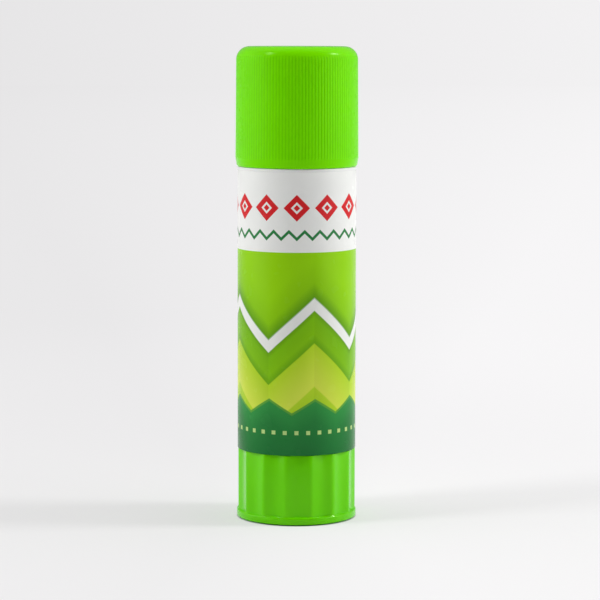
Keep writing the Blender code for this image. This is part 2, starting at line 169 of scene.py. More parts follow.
# Carrier and glue
PLATE_TOP = CARRIER_BOTTOM + 1.6 * MM
CUP_BORE = 9.0 * MM
BARB_HEIGHT = 0.4 * MM
BARB_LENGTH = 0.6 * MM
NUT_RADIUS = 5.0 * MM
GLUE_CORNER = 0.9 * MM
GLUE_DOME = 0.3 * MM
DOME_STEPS = 10
GLUE_COLUMNS = 160
CARRIER_COLUMNS = 96
OVERRUN = 1.0 * MM              # how far a cutter reaches past what it cuts

# Film
FILM_THICKNESS = 0.1 * MM
FILM_LAP = 4.0 * MM             # how far its outer end lies over its inner end
FILM_RAMP = 6.0 * MM            # length over which the inner end dips under the outer end
FILM_DIP = 1.2 * FILM_THICKNESS # how deep it dips
FILM_EDGE = 0.02 * MM           # rounding of the cut edges
FILM_COLUMNS = 252
FILM_ROWS = 20
SEAM_ANGLE = math.pi / 2        # at the back

# Print
WHITE_START = 58.0 * MM         # where the white band starts, above the foot
CHEVRONS = 4
CHEVRON_HEIGHT = 9.0            # millimetres from valley to peak
FOOT_SAW = 3.0                  # millimetres from valley to peak of the dark foot's edge
SQUARE_COUNT = 32
SQUARE_LEVEL = 4.6              # levels, heights and half widths in millimetres, as on the film's map
SQUARE_HALF = 0.42
DIAMOND_COUNT = 12
DIAMOND_LEVEL = 52.0
DIAMOND_HALF = 2.8
CHEVRON_PHASE = 0.62            # where the patterns start round the stick, in half waves
FOOT_PHASE = 0.2
FOLD_PHASE = 0.31               # in whole waves
FOLD_SHADE = 0.93               # brightness of the shaded half of a fold
FOLD_LEVEL = 21.45              # the folds end here, at the white chevron
FOOT_LEVEL = 8.8                # top of the dark foot
LINE_PEAKS = 24
LINE_LEVEL = 45.5
LINE_HEIGHT = 1.6
LINE_HALF = 0.4
INK_EDGE = 0.04                 # half the width of a printed edge
RED = "#DB2328"
PAPER_WHITE = "#F4F5F2"
PALE_GREEN = "#BFE08A"
DEEP_GREEN = "#2C8345"
FIELD_BANDS = (                 # bottom, its colour, top and its colour, by height above the zigzag
    (-10.0, "#7CC411", 5.4, "#BADF2C"), (5.5, "#DCEC52", 14.6, "#B8DE26"),
    (14.7, "#6FB00A", 16.6, "#86C808"), (20.2, "#7EC206", 21.4, "#6BA80A"),
    (21.5, "#F3F5F1", 24.1, "#F3F5F1"), (24.2, "#5F9E0C", 27.5, "#8DCE04"),
    (33.0, "#98DA02", 45.0, "#98DA02"))
FOOT_BANDS = (
    (-5.0, "#1B7033", 4.0, "#26803B"), (7.6, "#309243", 8.2, "#309243"),
    (8.3, "#5DA63C", 12.0, "#5DA63C"))

# Materials
NOISE_RANGE = (0.3, 0.7)        # most of a noise texture's values lie between these
MOULD_WAVE = (6 * MM, 0.008 * MM)
MOTTLE_SIZE = 7 * MM
PATCH_SIZE = 2.2 * MM
PATCH_RANGE = (0.88, 1.12)      # how the roughness of a moulding changes from patch to patch
SCATTER_DEPTH = 1.2 * MM        # how far light goes into the green plastic, with its share by colour
SCATTER_SHARES = (0.35, 1.0, 0.15)
RIPPLE_SIZE = 3 * MM
RIPPLE_DEPTH = 0.01 * MM
PEEL_SIZE = 0.7 * MM
PEEL_DEPTH = 0.002 * MM
FILM_ROUGHNESS = (0.22, 0.28)
FILM_SPECULAR = 0.12
GEL_GRAIN = (0.5 * MM, 0.01 * MM)
GEL_WAVE = (4 * MM, 0.05 * MM)
GEL_CLOUD_SIZE = 6 * MM
GEL_ROUGHNESS = (0.3, 0.45)
GEL_IOR = 1.42
GEL_SCATTER_DEPTH = 2 * MM
GEL_SCATTER_SHARES = (1.0, 0.9, 0.7)

# Studio
CAMERA_PLACE = (0.0, -525.3 * MM, 104.6 * MM)
CAMERA_PITCH = math.radians(6.29)
CAMERA_PAN = math.radians(-0.077)
CAMERA_ROLL = math.radians(0.11)
CAMERA_LENS = 148.0
FLOOR_RADIUS = 4.0
FLOOR_SIDES = 96
FLOOR_NEAR = 0.1                # added to a distance, so that the colours change softly at the stick
FLOOR_FADE_START = 0.08
FLOOR_FADE_END = 0.4
FLOOR_GLOW = 0.46               # share of the backdrop's own light in the floor beside the stick
FLOOR_LIFT = 1.2                # strength of that light beside the stick, against 1 far away
FLOOR_COLOUR = "#DFDEDF"
# painted light: the backdrop runs from darker on the left to lighter on the right, where its light is
# stronger
BACKDROP_LEFT = "#E9E8E9"
BACKDROP_RIGHT = "#F7F6F7"
BACKDROP_FADE = 0.965           # strength of the far backdrop, against 1 at the end of the floor's fade
BACKDROP_REACH = 0.15           # direction to the side, in metres a metre, at which the colours end
SOFTBOX_SIZE = 0.45
KEY_SIZE = 0.16
LAMPS = (                       # name, place, size and watts
    ("left_softbox", (-0.55, -0.13, 0.2), SOFTBOX_SIZE, 1.05),
    ("right_softbox", (0.53, -0.2, 0.2), SOFTBOX_SIZE, 1.0),
    ("left_key_lamp", (-0.54, -0.21, 0.72), KEY_SIZE, 2.1),
    ("right_key_lamp", (0.66, 0.0, 0.63), KEY_SIZE, 2.8))
AIR_COLOUR = "#FAFAFA"
FRONT_LEVEL = 0.01              # light from the open front, as a share of that from the sides
BACK_LEVEL = 0.35               # light from the back, as such a share
FRONT_FADE = (0.1, -0.4)        # directions along Y between which the tent's light falls to these
BACK_FADE = (0.2, 0.8)


def softened(corners, steps=4):
    """Closed outline through corners (radius, height, fillet), with an arc for each fillet."""
    outline = []
    for i, (radius, height, fillet) in enumerate(corners):
        here = Vector((radius, height))
        if not fillet:
            outline.append(here)
            continue
        back = (Vector(corners[i - 1][:2]) - here).normalized()
        on = (Vector(corners[(i + 1) % len(corners)][:2]) - here).normalized()
        half = back.angle(on) / 2
        centre = here + (back + on).normalized() * fillet / math.sin(half)
        start = here + back * fillet / math.tan(half) - centre
        end = here + on * fillet / math.tan(half) - centre
        sweep = start.angle(end)
        for step in range(steps + 1):
            share = step / steps
            outline.append(centre + (start * math.sin((1 - share) * sweep)
                                     + end * math.sin(share * sweep)) / math.sin(sweep))
    return outline


def straight(start, end, count):
    """Corners without a fillet, evenly spaced between two points and without them."""
    return [(start[0] + (end[0] - start[0]) * i / count, start[1] + (end[1] - start[1]) * i / count, 0)
            for i in range(1, count)]


def bead(radius, middle, height, up=True):
    """Corners of a snap bead on a wall, which stands out by height."""
    half = BEAD_LENGTH / 2
    crown = BEAD_LENGTH / 6
    corners = [(radius, middle - half, EASED), (radius + height, middle - crown, CRISP),
               (radius + height, middle + crown, CRISP), (radius, middle + half, EASED)]
    return corners if up else corners[::-1]


def swept(name, outline, columns, radius_at=None, start=0.0, span=TURN):
    """Sweep a closed outline of (radius, height) points about the axis into a closed mesh.

    radius_at gives the radius of a point from its own radius, its height and the angle. A sweep
    of more than one turn stays open at its ends, which are then closed by flat faces.
    """
    shape = bmesh.new()
    full = span == TURN
    loops = []
    for i in range(columns if full else columns + 1):
        angle = start + span * i / columns
        loop = []
        for radius, height in outline:
            if radius_at:
                radius = radius_at(radius, height, angle)
            loop.append(shape.verts.new((radius * math.cos(angle), radius * math.sin(angle), height)))
        loops.append(loop)
    pairs = list(zip(loops, loops[1:]))
    if full:
        pairs.append((loops[-1], loops[0]))
    else:
        shape.faces.new(loops[0])
        shape.faces.new(loops[-1])
    for here, there in pairs:
        for a in range(len(outline)):
            b = (a + 1) % len(outline)
            if outline[a][0] or outline[b][0]:
                shape.faces.new((here[a], there[a], there[b], here[b]))
    bmesh.ops.remove_doubles(shape, verts=shape.verts[:], dist=MERGE)
    bmesh.ops.recalc_face_normals(shape, faces=shape.faces[:])
    mesh = bpy.data.meshes.new(name)
    shape.to_mesh(mesh)
    shape.free()
    item = bpy.data.objects.new(name, mesh)
    bpy.context.scene.collection.objects.link(item)
    return item


def six_sided(flats, limit):
    """Turns the radii under a limit into a hexagon of a width across its flats."""
    def radius_at(radius, height, angle):
        if not 0 < radius < limit:
            return radius
        side = TURN / 6
        return flats / 2 / math.cos(angle % side - side / 2)
    return radius_at


def finished(item, material, body, node, sharp=40):
    """Shade a piece, give it its material, and let it stand for its CAD node."""
    item.data.shade_smooth()
    item.data.set_sharp_from_angle(angle=math.radians(sharp))
    item.data.materials.clear()
    item.data.materials.append(material)
    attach(item, body)
    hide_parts(node)
    return item


def add(tree, kind, inputs=(), **settings):
    """Add a node with its settings. Inputs come in order or by identifier: a node, a socket or a
    list of nodes is linked, None is passed over, and any other value is set."""
    node = tree.nodes.new(kind)
    for name, value in settings.items():
        setattr(node, name, value)
    open_sockets = [socket for socket in node.inputs if socket.enabled]
    if isinstance(inputs, dict):
        by_name = {socket.identifier: socket for socket in node.inputs}
        pairs = [(by_name[name], value) for name, value in inputs.items()]
    else:
        pairs = zip(open_sockets, inputs)
    for socket, value in pairs:
        sources = value if isinstance(value, list) else [value]
        for source in sources:
            if isinstance(source, bpy.types.Node):
                source = next(output for output in source.outputs if output.enabled)
            if isinstance(source, bpy.types.NodeSocket):
                tree.links.new(source, socket)
            elif source is not None:
                socket.default_value = source
    return node


def new_tree(name, sockets):
    """Geometry Nodes tree with a geometry in and out, and further inputs by name and type."""
    tree = bpy.data.node_groups.new(name, "GeometryNodeTree")
    tree.interface.new_socket("Geometry", in_out="INPUT", socket_type="NodeSocketGeometry")
    for label, kind in sockets.items():
        tree.interface.new_socket(label, in_out="INPUT", socket_type=f"NodeSocket{kind}")
    tree.interface.new_socket("Geometry", in_out="OUTPUT", socket_type="NodeSocketGeometry")
    return tree, tree.nodes.new("NodeGroupInput").outputs


def groove_tree():
    """Tree that presses equal grooves into a round wall, towards the axis.

    The grooves stand upright, or wind round it as a thread. A crest's middle is at share 0 and a
    groove's middle at share 0.5. The groove deepens from Crest Share to Floor Share, and Edge
    rounds a crest that would else be sharp. The attributes "pressed" and "grooved" tell the
    material how deep a point is pressed and whether it is in the grooved zone.
    """
    tree, given = new_tree("pressed_grooves", {
        "Count": "Float", "Turns Per Metre": "Float", "Phase": "Float", "Depth": "Float",
        "Setback": "Float", "Edge": "Float", "Crest Share": "Float", "Floor Share": "Float",
        "Roundness": "Float", "Power": "Float", "Bottom": "Float", "Top": "Float",
        "End Length": "Float", "Least Radius": "Float", "Most Radius": "Float", "Material": "Material"})
    place = add(tree, "GeometryNodeInputPosition")
    axes = add(tree, "ShaderNodeSeparateXYZ", [place]).outputs
    outward = add(tree, "ShaderNodeCombineXYZ", [axes["X"], axes["Y"], 0.0])
    radius = add(tree, "ShaderNodeVectorMath", [outward], operation="LENGTH")
    outward = add(tree, "ShaderNodeVectorMath", [outward], operation="NORMALIZE")

    # Where a point lies between two crests
    angle = add(tree, "ShaderNodeMath", [axes["Y"], axes["X"]], operation="ARCTAN2")
    angle = add(tree, "ShaderNodeMath", [angle, given["Phase"]], operation="SUBTRACT")
    turns = add(tree, "ShaderNodeMath", [angle, TURN], operation="DIVIDE")
    winding = add(tree, "ShaderNodeMath", [axes["Z"], given["Turns Per Metre"]], operation="MULTIPLY")
    crests = add(tree, "ShaderNodeMath", [turns, given["Count"], winding], operation="MULTIPLY_ADD")
    share = add(tree, "ShaderNodeMath", [crests, 0.5], operation="PINGPONG")
    square = add(tree, "ShaderNodeMath", [given["Edge"], 2.0], operation="POWER")
    square = add(tree, "ShaderNodeMath", [share, share, square], operation="MULTIPLY_ADD")
    share = add(tree, "ShaderNodeMath", [square], operation="SQRT")
    share = add(tree, "ShaderNodeMath", [share, given["Edge"]], operation="SUBTRACT")

    # Section of a groove: straight or rounded flanks, raised to a power for a scallop
    limits = [share, given["Crest Share"], given["Floor Share"], 0.0, 1.0]
    flat = add(tree, "ShaderNodeMapRange", limits)
    soft = add(tree, "ShaderNodeMapRange", limits, interpolation_type="SMOOTHSTEP")
    flank = add(tree, "ShaderNodeMix", [given["Roundness"], flat, soft])
    left = add(tree, "ShaderNodeMath", [1.0, flank], operation="SUBTRACT")
    left = add(tree, "ShaderNodeMath", [left, given["Power"]], operation="POWER")
    section = add(tree, "ShaderNodeMath", [1.0, left], operation="SUBTRACT")
    depth = add(tree, "ShaderNodeMath", [section, given["Depth"], given["Setback"]],
                operation="MULTIPLY_ADD")

    # The grooves run out at their ends
    low_end = add(tree, "ShaderNodeMath", [given["Bottom"], given["End Length"]], operation="ADD")
    high_end = add(tree, "ShaderNodeMath", [given["Top"], given["End Length"]], operation="SUBTRACT")
    low = add(tree, "ShaderNodeMapRange", [axes["Z"], given["Bottom"], low_end, 0.0, 1.0],
              interpolation_type="SMOOTHSTEP")
    high = add(tree, "ShaderNodeMapRange", [axes["Z"], given["Top"], high_end, 0.0, 1.0],
               interpolation_type="SMOOTHSTEP")
    ends = add(tree, "ShaderNodeMath", [low, high], operation="MULTIPLY")
    press = add(tree, "ShaderNodeMath", [depth, ends], operation="MULTIPLY")
    press = add(tree, "ShaderNodeMath", [press, -1.0], operation="MULTIPLY")

    over = add(tree, "ShaderNodeMath", [radius.outputs["Value"], given["Least Radius"]],
               operation="GREATER_THAN")
    under = add(tree, "ShaderNodeMath", [radius.outputs["Value"], given["Most Radius"]],
                operation="LESS_THAN")
    chosen = add(tree, "ShaderNodeMath", [over, under], operation="MULTIPLY")
    offset = add(tree, "ShaderNodeVectorMath", {"Vector": outward, "Scale": press}, operation="SCALE")
    moved = add(tree, "GeometryNodeSetPosition",
                {"Geometry": given["Geometry"], "Selection": chosen, "Offset": offset})

    # The surface knows how deep it is pressed, and where the grooves are
    pressed = add(tree, "ShaderNodeMath", [section, ends], operation="MULTIPLY")
    noted = add(tree, "GeometryNodeStoreNamedAttribute",
                {"Geometry": moved, "Selection": chosen, "Name": "pressed", "Value": pressed})
    noted = add(tree, "GeometryNodeStoreNamedAttribute",
                {"Geometry": noted, "Selection": chosen, "Name": "grooved", "Value": ends})
    real = add(tree, "GeometryNodeRealizeInstances", [noted])
    clad = add(tree, "GeometryNodeSetMaterial", {"Geometry": real, "Material": given["Material"]})
    add(tree, "NodeGroupOutput", [clad])
    return tree


def bars_tree(name, operation):
    """Tree that joins equal upright bars round the axis to a piece, or cuts them out of it."""
    tree, given = new_tree(name, {
        "Count": "Int", "Phase": "Float", "Inner Radius": "Float", "Outer Radius": "Float",
        "Width": "Float", "Bottom": "Float", "Top": "Float", "Material": "Material"})
    reach = add(tree, "ShaderNodeMath", [given["Outer Radius"], given["Inner Radius"]],
                operation="SUBTRACT")
    rise = add(tree, "ShaderNodeMath", [given["Top"], given["Bottom"]], operation="SUBTRACT")
    size = add(tree, "ShaderNodeCombineXYZ", [reach, given["Width"], rise])
    bar = add(tree, "GeometryNodeMeshCube", {"Size": size})
    out = add(tree, "ShaderNodeMath", [reach, 0.5, given["Inner Radius"]], operation="MULTIPLY_ADD")
    up = add(tree, "ShaderNodeMath", [rise, 0.5, given["Bottom"]], operation="MULTIPLY_ADD")
    middle = add(tree, "ShaderNodeCombineXYZ", [out, 0.0, up])
    bar = add(tree, "GeometryNodeTransform", {"Geometry": bar, "Translation": middle})
    points = add(tree, "GeometryNodePoints", [given["Count"]])
    index = add(tree, "GeometryNodeInputIndex")
    step = add(tree, "ShaderNodeMath", [TURN, given["Count"]], operation="DIVIDE")
    angle = add(tree, "ShaderNodeMath", [index, step, given["Phase"]], operation="MULTIPLY_ADD")
    turn = add(tree, "ShaderNodeCombineXYZ", [0.0, 0.0, angle])
    bars = add(tree, "GeometryNodeInstanceOnPoints",
               {"Points": points, "Instance": bar, "Rotation": turn})
    if operation == "UNION":
        whole = add(tree, "GeometryNodeMeshBoolean", {"Mesh 2": [given["Geometry"], bars]},
                    operation=operation, solver="EXACT")
    else:
        whole = add(tree, "GeometryNodeMeshBoolean", {"Mesh 1": given["Geometry"], "Mesh 2": bars},
                    operation=operation, solver="EXACT")
    real = add(tree, "GeometryNodeRealizeInstances", [whole])
    clad = add(tree, "GeometryNodeSetMaterial", {"Geometry": real, "Material": given["Material"]})
    add(tree, "NodeGroupOutput", [clad])
    return tree


def shaped(item, tree, values):
    """Run a tree on a piece with named values, and keep the result as its plain mesh."""
    step = item.modifiers.new(tree.name, "NODES")
    step.node_group = tree
    for socket in tree.interface.items_tree:
        if socket.in_out == "INPUT" and socket.name in values:
            step[socket.identifier] = values[socket.name]
    result = item.evaluated_get(bpy.context.evaluated_depsgraph_get())
    mesh = bpy.data.meshes.new_from_object(result)
    item.modifiers.remove(step)
    item.data = mesh
    return item


def linear(colour, alpha=1.0):
    """An sRGB hex colour as linear red, green, blue and alpha."""
    channels = [int(colour[i:i + 2], 16) / 255 for i in (1, 3, 5)]
    return (*(c / 12.92 if c <= 0.04045 else ((c + 0.055) / 1.055) ** 2.4 for c in channels), alpha)


def new_material(name):
    """Material with an empty node tree."""
    material = bpy.data.materials.new(name)
    material.use_nodes = True
    material.node_tree.nodes.clear()
    return material, material.node_tree


def moulded_surface(tree, grain, grain_depth, wave, wave_depth):
    """Bump of a moulded surface: the fine grain of the mould's steel over a slow waviness.

    The grain of a real mould is about 0.03 mm, too fine to show, so it is drawn coarser.
    """
    place = add(tree, "ShaderNodeTexCoord").outputs["Object"]
    fine = add(tree, "ShaderNodeTexNoise", {"Vector": place, "Scale": 1 / grain, "Detail": 3.0})
    slow = add(tree, "ShaderNodeTexNoise", {"Vector": place, "Scale": 1 / wave, "Detail": 1.0})
    bumps = add(tree, "ShaderNodeBump", {"Height": slow, "Distance": wave_depth, "Strength": 1.0})
    return place, add(tree, "ShaderNodeBump", {"Height": fine, "Distance": grain_depth,
                                               "Strength": 1.0, "Normal": bumps})


def polypropylene(name, colour, shade, groove, roughness, polish, grain, glow, specular, gleam):
    """Injection-moulded polypropylene: waxy, evenly coloured through, a little light goes in.

    colour and shade are the two ends of a faint mottling. groove is a darker tint, multiplied in as
    far as a point is pressed: painted shade in the grooves of ribs and flutes, standing in for the
    shade that deeper grooves would hold. roughness is that of the grooved walls and polish that of
    the smooth ones, and both change a little over a few millimetres. grain is the size and depth of
    the mould's texture, glow the share of the light that scatters inside, and gleam the colour of
    the gloss seen square on.
    """
    material, tree = new_material(name)
    place, normal = moulded_surface(tree, *grain, *MOULD_WAVE)
    mottle = add(tree, "ShaderNodeTexNoise", {"Vector": place, "Scale": 1 / MOTTLE_SIZE, "Detail": 4.0})
    tint = add(tree, "ShaderNodeMix", [mottle, linear(colour), linear(shade)], data_type="RGBA")
    # painted shade: the colour darkens towards the groove tint as far as a point is pressed into a groove
    pressed = add(tree, "ShaderNodeAttribute", attribute_name="pressed").outputs["Fac"]
    tint = add(tree, "ShaderNodeMix", [pressed, tint, linear(groove)], data_type="RGBA",
               blend_type="MULTIPLY")
    grooved = add(tree, "ShaderNodeAttribute", attribute_name="grooved").outputs["Fac"]
    rough = add(tree, "ShaderNodeMapRange", [grooved, 0.0, 1.0, polish, roughness])
    patches = add(tree, "ShaderNodeTexNoise", {"Vector": place, "Scale": 1 / PATCH_SIZE, "Detail": 5.0})
    patches = add(tree, "ShaderNodeMapRange", [patches, *NOISE_RANGE, *PATCH_RANGE])
    rough = add(tree, "ShaderNodeMath", [rough, patches], operation="MULTIPLY")
    shader = add(tree, "ShaderNodeBsdfPrincipled", {
        "Base Color": tint, "Roughness": rough, "Normal": normal, "IOR": PLASTIC_IOR,
        "Specular IOR Level": specular, "Specular Tint": linear(gleam), "Subsurface Weight": glow,
        "Subsurface Radius": SCATTER_SHARES, "Subsurface Scale": SCATTER_DEPTH})
    add(tree, "ShaderNodeOutputMaterial", [shader])
    return material


def printed_film():
    """Gloss polypropylene film, printed on its back: flat inks under a smooth clear skin.

    The print follows the film's own map, once round and from edge to edge. It is a generic
    pattern of chevrons, with heights in millimetres above the film's lower edge.
    """
    material, tree = new_material("printed_polypropylene_film")
    wrap = add(tree, "ShaderNodeUVMap", uv_map="wrap")
    axes = add(tree, "ShaderNodeSeparateXYZ", [wrap]).outputs
    turns = axes["X"]
    rise = add(tree, "ShaderNodeMath", [axes["Y"], (FILM_TOP - FILM_BOTTOM) / MM],
               operation="MULTIPLY")
    around = TURN * FILM_RADIUS / MM

    def ramp(height, bands):
        """Colours by height: each band runs from one level to another, and from colour to colour."""
        low, high = bands[0][0], bands[-1][2]
        share = add(tree, "ShaderNodeMapRange", [height, low, high, 0.0, 1.0])
        node = add(tree, "ShaderNodeValToRGB", [share])
        stops = [stop for bottom, first, top, last in bands for stop in ((bottom, first), (top, last))]
        elements = node.color_ramp.elements
        while len(elements) < len(stops):
            elements.new(1.0)
        for element, (level, colour) in zip(elements, stops):
            element.position = (level - low) / (high - low)
            element.color = linear(colour)
        return node

    def inside(distance, edge):
        """1 where a distance in millimetres is under an edge, with a clean printed boundary."""
        return add(tree, "ShaderNodeMapRange", [distance, edge + INK_EDGE, edge - INK_EDGE, 0.0, 1.0])

    def zigzag(peaks, phase):
        """0 in the valleys and 1 on the peaks of a line that goes round the stick."""
        run = add(tree, "ShaderNodeMath", [turns, 2.0 * peaks, phase], operation="MULTIPLY_ADD")
        return add(tree, "ShaderNodeMath", [run, 1.0], operation="PINGPONG")

    # Lime field with a white zigzag and a yellow-green fold under it
    upper = add(tree, "ShaderNodeMath", [zigzag(CHEVRONS, CHEVRON_PHASE), -CHEVRON_HEIGHT, rise],
                operation="MULTIPLY_ADD")
    field = ramp(upper, FIELD_BANDS)
    fold = add(tree, "ShaderNodeMath", [turns, float(CHEVRONS), FOLD_PHASE], operation="MULTIPLY_ADD")
    fold = add(tree, "ShaderNodeMath", [fold], operation="FRACT")
    fold = add(tree, "ShaderNodeMath", [fold, 0.5], operation="LESS_THAN")
    fold = add(tree, "ShaderNodeMapRange", [fold, 0.0, 1.0, FOLD_SHADE, 1.0])
    under = inside(upper, FOLD_LEVEL)
    crease = add(tree, "ShaderNodeMix", [under, 1.0, fold])
    crease = add(tree, "ShaderNodeCombineColor", [crease, crease, crease])
    field = add(tree, "ShaderNodeMix", [1.0, field, crease], data_type="RGBA", blend_type="MULTIPLY")

    # Dark green foot with a saw edge, and a row of small pale squares
    lower = add(tree, "ShaderNodeMath", [zigzag(2 * CHEVRONS, FOOT_PHASE), -FOOT_SAW, rise],
                operation="MULTIPLY_ADD")
    foot = ramp(lower, FOOT_BANDS)
    print_so_far = add(tree, "ShaderNodeMix", [inside(lower, FOOT_LEVEL), field, foot],
                       data_type="RGBA")

    def motif(colour, below, distance, edge):
        """Print one colour over what is below it, where a distance is under an edge."""
        return add(tree, "ShaderNodeMix", [inside(distance, edge), below, linear(colour)],
                   data_type="RGBA")

    def offset(count, level):
        """Distances in millimetres, along and up, from the nearest motif of an even row."""
        steps = add(tree, "ShaderNodeMath", [turns, float(count)], operation="MULTIPLY")
        near = add(tree, "ShaderNodeMath", [steps, 0.5], operation="PINGPONG")
        along = add(tree, "ShaderNodeMath", [near, around / count], operation="MULTIPLY")
        up = add(tree, "ShaderNodeMath", [rise, level], operation="SUBTRACT")
        return along, add(tree, "ShaderNodeMath", [up], operation="ABSOLUTE")

    along, up = offset(SQUARE_COUNT, SQUARE_LEVEL)
    square = add(tree, "ShaderNodeMath", [along, up], operation="MAXIMUM")
    print_so_far = motif(PALE_GREEN, print_so_far, square, SQUARE_HALF)

    # White band with red diamonds and a green zigzag line
    paper = add(tree, "ShaderNodeMath", [(WHITE_START - FILM_BOTTOM) / MM, rise], operation="SUBTRACT")
    print_so_far = motif(PAPER_WHITE, print_so_far, paper, 0.0)
    along, up = offset(DIAMOND_COUNT, DIAMOND_LEVEL)
    diamond = add(tree, "ShaderNodeMath", [along, up], operation="ADD")
    for colour, share in ((RED, 1.0), (PAPER_WHITE, 0.45), (RED, 0.25)):
        print_so_far = motif(colour, print_so_far, diamond, share * DIAMOND_HALF)
    line = add(tree, "ShaderNodeMath", [zigzag(LINE_PEAKS, 0.0), -LINE_HEIGHT, rise],
               operation="MULTIPLY_ADD")
    line = add(tree, "ShaderNodeMath", [line, LINE_LEVEL], operation="SUBTRACT")
    line = add(tree, "ShaderNodeMath", [line], operation="ABSOLUTE")
    print_so_far = motif(DEEP_GREEN, print_so_far, line, LINE_HALF)

    # Smooth skin with a faint ripple and hairline scuffs
    place = add(tree, "ShaderNodeTexCoord").outputs["Object"]
    ripple = add(tree, "ShaderNodeTexNoise", {"Vector": place, "Scale": 1 / RIPPLE_SIZE, "Detail": 1.0})
    peel = add(tree, "ShaderNodeTexNoise", {"Vector": place, "Scale": 1 / PEEL_SIZE, "Detail": 2.0})
    normal = add(tree, "ShaderNodeBump", {"Height": ripple, "Distance": RIPPLE_DEPTH, "Strength": 1.0})
    normal = add(tree, "ShaderNodeBump", {"Height": peel, "Distance": PEEL_DEPTH, "Strength": 1.0,
                                          "Normal": normal})
    rough = add(tree, "ShaderNodeMapRange", [ripple, *NOISE_RANGE, *FILM_ROUGHNESS])
    shader = add(tree, "ShaderNodeBsdfPrincipled", {
        "Base Color": print_so_far, "Roughness": rough, "Normal": normal, "IOR": PLASTIC_IOR,
        "Specular IOR Level": FILM_SPECULAR})
    add(tree, "ShaderNodeOutputMaterial", [shader])
    return material


def glue_gel():
    """Dried-in glue stick: an off-white, slightly see-through soap gel with a damp, smooth skin."""
    material, tree = new_material("glue_stick_gel")
    place, normal = moulded_surface(tree, *GEL_GRAIN, *GEL_WAVE)
    cloud = add(tree, "ShaderNodeTexNoise", {"Vector": place, "Scale": 1 / GEL_CLOUD_SIZE, "Detail": 4.0})
    tint = add(tree, "ShaderNodeMix", [cloud, linear("#F4F2E8"), linear("#E9E5D3")], data_type="RGBA")
    rough = add(tree, "ShaderNodeMapRange", [cloud, *NOISE_RANGE, *GEL_ROUGHNESS])
    shader = add(tree, "ShaderNodeBsdfPrincipled", {
        "Base Color": tint, "Roughness": rough, "Normal": normal, "IOR": GEL_IOR,
        "Subsurface Weight": 0.6, "Subsurface Radius": GEL_SCATTER_SHARES,
        "Subsurface Scale": GEL_SCATTER_DEPTH})
    add(tree, "ShaderNodeOutputMaterial", [shader])
    return material


def make_cap(material, grooves):
    """Ribbed cap, with its snap bead, seal ring and the mould's gate mark on top."""
    edge = SHOULDER + SEAM
    wall_start = (CAP_RADIUS, RIB_BOTTOM + RIB_END)
    wall_end = (CAP_TOP_RADIUS, CAP_TOP - CAP_CORNER)

    def wall(height):
        """A point of the outer wall, which leans in towards the top."""
        share = (height - wall_start[1]) / (wall_end[1] - wall_start[1])
        return (wall_start[0] + share * (wall_end[0] - wall_start[0]), height)

    def rows(low, high, count):
        """Evenly spaced corners up the wall, for the grooves to press."""
        return [(*wall(low + (high - low) * i / count), 0) for i in range(count + 1)]

    corners = [(0.0, CAP_CEILING, 0), (SEAL_RADIUS - SEAL_WALL, CAP_CEILING, FILLET),
               (SEAL_RADIUS - SEAL_WALL, SEAL_BOTTOM, CRISP), (SEAL_RADIUS, SEAL_BOTTOM, FILLET),
               (SEAL_RADIUS, CAP_CEILING, FILLET), (CAP_BORE - CAP_BORE_DRAFT, CAP_CEILING, FILLET),
               (CAP_BORE, NECK_BEAD + BEAD_LENGTH, 0)]
    corners += bead(CAP_BORE, NECK_BEAD - BEAD_LENGTH, -CAP_BEAD_HEIGHT, up=False)
    corners += [(CAP_BORE, edge, EASED), (CAP_RADIUS - CAP_DRAW_IN, edge, CAP_EDGE),
                (CAP_RADIUS, RIB_BOTTOM + RIB_END, CRISP)]
    corners += rows(wall_start[1] + ROW_MARGIN, wall_start[1] + RIB_END, END_ROWS)
    corners += rows(RIB_BOTTOM + 3 * RIB_END, wall_end[1] - ROW_MARGIN, WALL_ROWS)
    outline = softened(corners)
    for step in range(CORNER_STEPS + 1):
        turn = TURN / 4 * step / CORNER_STEPS
        outline.append(Vector((CAP_TOP_RADIUS - CAP_CORNER * (1 - math.cos(turn)),
                               wall_end[1] + CAP_CORNER * math.sin(turn))))
    outline += softened([(CAP_TOP_RADIUS / 2, CAP_TOP, 0), (GATE_RADIUS, CAP_TOP, CRISP),
                         (GATE_FLOOR_RADIUS, CAP_TOP - GATE_DEPTH, CRISP),
                         (0.0, CAP_TOP - GATE_DEPTH, 0)], steps=3)
    cap = swept("ribbed_cap", outline, RIB_COUNT * RIB_COLUMNS)
    shaped(cap, grooves, {
        "Count": RIB_COUNT * 1.0, "Turns Per Metre": 0.0, "Phase": 0.0, "Depth": RIB_DEPTH,
        "Setback": RIB_SETBACK, "Edge": 0.0, "Crest Share": RIB_CREST,
        "Floor Share": RIB_FLOOR, "Roundness": 1.0, "Power": 1.0,
        "Bottom": RIB_BOTTOM + RIB_END / 2, "Top": RIB_TOP, "End Length": RIB_END,
        "Least Radius": CAP_BORE + GAP, "Most Radius": CAP_RADIUS + GAP, "Material": material})
    return finished(cap, material, "cap", "cap", sharp=65)


